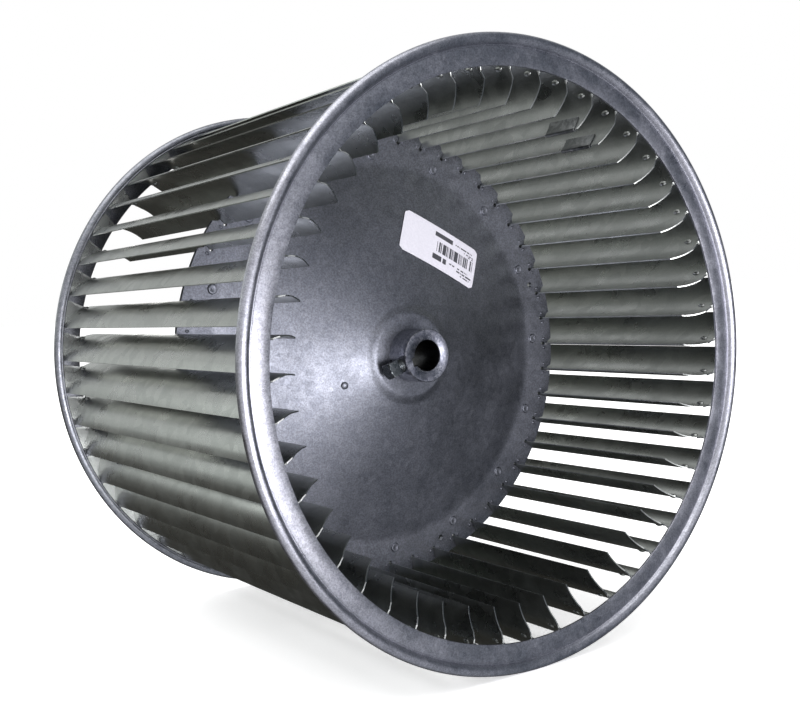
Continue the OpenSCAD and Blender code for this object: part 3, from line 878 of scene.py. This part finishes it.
hub = copyOfNode("hub", "hub", hubSteel, 28)

screw = {
    "direction": 198.0, "height": 37.7,
    "tip": 8.54, "point": 1.2, "headAt": 17.3875, "intoHead": 0.3, "shank": 3.97,
    "threadDepth": 0.62, "threadPitch": 1.411, "threadSlope": 1.25, "threadRoot": 0.12, "threadEnd": 0.5,
    "around": 40, "rings": 110,
    "headWidth": 7.94, "headHeight": 6.0, "headTurn": 12.0, "headEdge": 0.22, "headPoints": 64,
    "coneHeight": 1.3, "coneRadii": (6.0, 4.0), "coneSteps": 5, "seatHeight": 0.15, "seatShare": 0.985,
}


def screwMesh(s):
    # along +Z from the tip; the thread is a helical ripple of the shank
    bm = bmesh.new()
    threaded = s["headAt"] - s["tip"]
    length = threaded + s["intoHead"]
    rings = []
    for j in range(s["rings"] + 1):
        z = length * j / s["rings"]
        ring = []
        for i in range(s["around"]):
            t = (z / s["threadPitch"] - i / s["around"]) % 1.0
            ripple = min(1.0, max(0.0, s["threadSlope"] * abs(2 * t - 1) - s["threadRoot"]))
            fade = min(1.0, max(0.0, threaded - z) / s["threadEnd"])
            radius = s["shank"] - s["threadDepth"] * (1 - ripple) * fade
            radius = min(radius, s["shank"] - s["point"] + z)
            a = 2 * math.pi * i / s["around"]
            x, y = radius * math.cos(a), radius * math.sin(a)
            ring.append(bm.verts.new((x * mm, y * mm, (s["tip"] + z) * mm)))
        rings.append(ring)
    bridgeRings(bm, rings)
    shank = meshFromBmesh("screwShank", bm)
    smooth(shank, 60)
    # square head with its end turned to a cone; each level has a height and the most its radius may be
    head = bmesh.new()
    half = s["headWidth"] / 2
    corner = half * math.sqrt(2) - s["headEdge"]
    coneFrom = s["headHeight"] - s["coneHeight"]
    wide, narrow = s["coneRadii"]
    levels = [(0.0, corner), (s["seatHeight"], corner), (coneFrom, corner)]
    for i in range(s["coneSteps"] + 1):
        share = i / s["coneSteps"]
        levels.append((coneFrom + s["coneHeight"] * share, wide - (wide - narrow) * share))
    rows = []
    for z, limit in levels:
        row = []
        for i in range(s["headPoints"]):
            a = 2 * math.pi * i / s["headPoints"]
            flat = half / max(abs(math.cos(a)), abs(math.sin(a)))
            radius = min(flat, corner, limit) * (s["seatShare"] if z == 0.0 else 1.0)
            a += math.radians(s["headTurn"])
            x, y = radius * math.cos(a), radius * math.sin(a)
            row.append(head.verts.new((x * mm, y * mm, (s["headAt"] + z) * mm)))
        rows.append(row)
    bridgeRings(head, rows)
    headMesh = meshFromBmesh("screwHead", head)
    smooth(headMesh, 22)
    return joinMeshes("setScrew", [shank, headMesh])


screwPlace = Matrix.Rotation(math.radians(screw["direction"]), 4, "Z")
screwPlace = screwPlace @ Matrix.Translation((0, 0, screw["height"] * mm))
screwPlace = screwPlace @ Matrix.Rotation(math.radians(90), 4, "Y")
setScrew = meshObject("setScrew", screwMesh(screw))
setScrew.data.transform(onAxle @ screwPlace)
setScrew.data.materials.append(screwSteel)

clipOne = copyOfNode("balanceClip1", "balance_clip_1", clipSteel, 28, edge=0.1)
clipTwo = copyOfNode("balanceClip2", "balance_clip_2", clipSteel, 28, edge=0.1)

label = {"length": 56.5, "height": 24.5, "corner": 2.5, "radius": 66.6, "angle": 58.4, "turn": 4.4,
         "lift": 0.1, "film": 0.14, "columns": 28, "rows": 16}


def labelMesh(s, d):
    place = Matrix.Rotation(math.radians(s["angle"]), 4, "Z") @ Matrix.Translation((s["radius"], 0, 0))
    place = place @ Matrix.Rotation(math.radians(s["turn"]), 4, "Z")
    bm = bmesh.new()
    uvLayer = bm.loops.layers.uv.new("UVMap")
    grid, uvOf = [], {}
    for i in range(s["rows"] + 1):
        x = -s["height"] / 2 + s["height"] * i / s["rows"]
        over = max(0.0, abs(x) - (s["height"] / 2 - s["corner"]))
        half = s["length"] / 2 - s["corner"] + math.sqrt(max(0.0, s["corner"] ** 2 - over ** 2))
        row = []
        for j in range(s["columns"] + 1):
            y = -half + 2 * half * j / s["columns"]
            p = place @ Vector((x, y, 0))
            r = math.hypot(p.x, p.y)
            z = d["sheet"] + dishSlope(d) * (d["foldRadius"] - r) + s["lift"] + s["film"]
            vert = bm.verts.new((p.x * mm, p.y * mm, z * mm))
            uvOf[vert] = (y / s["length"] + 0.5, x / s["height"] + 0.5)
            row.append(vert)
        grid.append(row)
    for i in range(s["rows"]):
        for j in range(s["columns"]):
            face = bm.faces.new((grid[i][j], grid[i + 1][j], grid[i + 1][j + 1], grid[i][j + 1]))
            for corner in face.loops:
                corner[uvLayer].uv = uvOf[corner.vert]
    bm.normal_update()
    if sum(f.normal.z for f in bm.faces) < 0:
        bmesh.ops.reverse_faces(bm, faces=bm.faces)
    mesh = bpy.data.meshes.new("label")
    bm.to_mesh(mesh)
    bm.free()
    return mesh


labelPiece = meshObject("label", labelMesh(label, disc))
film = labelPiece.modifiers.new("film", "SOLIDIFY")
film.thickness = label["film"] * mm
film.offset = -1
evaluated(labelPiece)
smooth(labelPiece.data, 40)
labelPiece.data.transform(onAxle)
labelPiece.data.materials.append(labelFilm)
print("hub, screw, clips and label placed")

bladeNodes = ["blade_%02d" % (i + 1) for i in range(wheel["blades"])]
parts = [
    # piece, body, material slot, nodes it stands for
    (frontRing, "wheel", "ring_steel", ["front_ring"]),
    (rearRing, "wheel", "ring_steel", ["rear_ring"]),
    (blades, "wheel", "blade_steel", bladeNodes),
    (frontDisc, "wheel", "disc_steel", ["front_disc"]),
    (rearDisc, "wheel", "disc_steel", ["rear_disc"]),
    (hub, "wheel", "hub_steel", ["hub"]),
    (labelPiece, "wheel", "label_paper", ["label"]),
    (setScrew, "screw", "screw_steel", ["set_screw"]),
    (clipOne, "clip_1", "clip_steel", ["balance_clip_1"]),
    (clipTwo, "clip_2", "clip_steel", ["balance_clip_2"]),
]
for piece, body, slot, nodes in parts:
    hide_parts(*nodes)
    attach(piece, body)


# floor, light and camera

studio = {"floorSize": 12.0, "floor": (0.97, 0.97, 0.97), "floorDark": (0.95, 0.95, 0.95), "floorGlow": 0.5}
floorMesh = bpy.data.meshes.new("floor")
corners = [(x * studio["floorSize"], y * studio["floorSize"], cadBox[0][2])
           for x, y in ((-1, -1), (1, -1), (1, 1), (-1, 1))]
floorMesh.from_pydata(corners, [], [(0, 1, 2, 3)])
floor = meshObject("floor", floorMesh)
floorPaint, floorTree, floorShader = newMaterial("pale floor")
floorCoord = addNode(floorTree, "ShaderNodeTexCoord").outputs["Object"]
mottle = noise(floorTree, floorCoord, 3.0, 2.0)
floorColour = ramp(floorTree, mottle.outputs["Fac"], [(0.3, studio["floorDark"]), (0.7, studio["floor"])])
floorTree.links.new(floorColour, floorShader.inputs["Base Color"])
floorShader.inputs["Roughness"].default_value = 0.8
floorShader.inputs["Emission Color"].default_value = (1, 1, 1, 1)
floorShader.inputs["Emission Strength"].default_value = studio["floorGlow"]
floorMesh.materials.append(floorPaint)
floor.visible_glossy = False
floor.visible_shadow = False

lights = [
    # name, position, aims at, width, height, power, colour
    ("frontBox", (-0.36, -1.82, -0.27), (0, 0, 0), 0.70, 0.8, 20, (0.97, 0.96, 1.0)),
    ("nearPanel", (0.13, -0.85, -0.12), (-0.14, -0.12, -0.02), 0.22, 0.36, 1.3, (0.98, 0.96, 1.0)),
    ("topBox", (-0.5, -0.3, 1.8), (0, 0, 0), 2.2, 2.0, 26, (1, 1, 1)),
    ("backLeftBox", (-1.3, 1.5, 0.5), (0, 0, 0), 0.7, 0.7, 1.5, (0.94, 1.0, 0.97)),
    ("backRightBox", (1.0, 1.7, 0.15), (0, 0, 0), 1.0, 0.7, 4, (1.0, 1.0, 0.96)),
]
for name, position, aim, wide, high, power, colour in lights:
    lamp = bpy.data.lights.new(name, "AREA")
    lamp.shape = "RECTANGLE"
    lamp.size, lamp.size_y = wide, high
    lamp.energy = power
    lamp.color = colour
    holder = bpy.data.objects.new(name, lamp)
    holder.location = position
    holder.rotation_euler = (Vector(aim) - Vector(position)).to_track_quat("-Z", "Y").to_euler()
    holder.visible_camera = False
    scene.collection.objects.link(holder)

world = bpy.data.worlds.new("studio")
scene.world = world
world.use_nodes = True
room = world.node_tree
room.nodes.clear()
direction = addNode(room, "ShaderNodeTexCoord").outputs["Generated"]
axes = addNode(room, "ShaderNodeSeparateXYZ", {0: direction})
# what the metal mirrors in front: bright to the left, dark to the right
across = mathNode(room, "ADD", mathNode(room, "MULTIPLY", axes.outputs[0], 0.5), 0.5)
ahead = ramp(room, across, [(0.2, (0.88, 0.88, 0.92)), (0.36, (0.84, 0.84, 0.88)), (0.5, (0.52, 0.53, 0.57)),
                          (0.66, (0.42, 0.44, 0.48)), (0.8, (0.14, 0.16, 0.19)), (1.0, (0.04, 0.052, 0.07))])
# and behind: a pale wall that darkens below
upness = remapped(room, axes.outputs[2], -0.6, 0.8, 0.0, 1.0)
behind = ramp(room, upness, [(0.0, (0.035, 0.034, 0.030)), (0.25, (0.075, 0.073, 0.066)),
                             (0.4, (0.17, 0.17, 0.16)), (0.5, (0.58, 0.60, 0.59)),
                             (0.62, (0.74, 0.76, 0.75)), (1.0, (0.55, 0.56, 0.57))])
turnToBack = remapped(room, axes.outputs[1], -0.15, 0.3, 0.0, 1.0)
allRound = addNode(room, "ShaderNodeMix", {0: turnToBack, 6: ahead, 7: behind}, data_type="RGBA").outputs[2]
mirrored = addNode(room, "ShaderNodeBackground", {"Color": allRound, "Strength": 1.0})
white = addNode(room, "ShaderNodeBackground", {"Color": (1, 1, 1, 1), "Strength": 1.0})
rays = addNode(room, "ShaderNodeLightPath")
plain = mathNode(room, "MAXIMUM", rays.outputs["Is Camera Ray"], rays.outputs["Is Diffuse Ray"])
mixed = addNode(room, "ShaderNodeMixShader", {0: plain, 1: mirrored.outputs[0], 2: white.outputs[0]})
addNode(room, "ShaderNodeOutputWorld", {"Surface": mixed.outputs[0]})

viewpoint = {
    "turns": (("Y", -3.45), ("X", 4.92), ("Z", 31.13)),     # roll, elevation, azimuth in degrees
    "wheelAt": (28.35, 624.8, 18.4),                        # wheel's centre: right, ahead, up, in mm
    "lens": 49.80, "shift": (0.0856, 0.0365),
}
toView = Matrix.Identity(3)
for axis, degrees in viewpoint["turns"]:
    toView = toView @ Matrix.Rotation(math.radians(degrees), 3, axis)
fromView = toView.transposed()
cameraAt = -(fromView @ (Vector(viewpoint["wheelAt"]) * mm))
right = fromView @ Vector((1, 0, 0))
up = fromView @ Vector((0, 0, 1))
back = -(fromView @ Vector((0, 1, 0)))
cameraData = bpy.data.cameras.new("camera")
cameraData.lens = viewpoint["lens"]
cameraData.shift_x, cameraData.shift_y = viewpoint["shift"]
camera = bpy.data.objects.new("camera", cameraData)
camera.matrix_world = Matrix.Translation(cameraAt) @ Matrix((right, up, back)).transposed().to_4x4()
scene.collection.objects.link(camera)
scene.camera = camera
scene.view_settings.view_transform = "Standard"
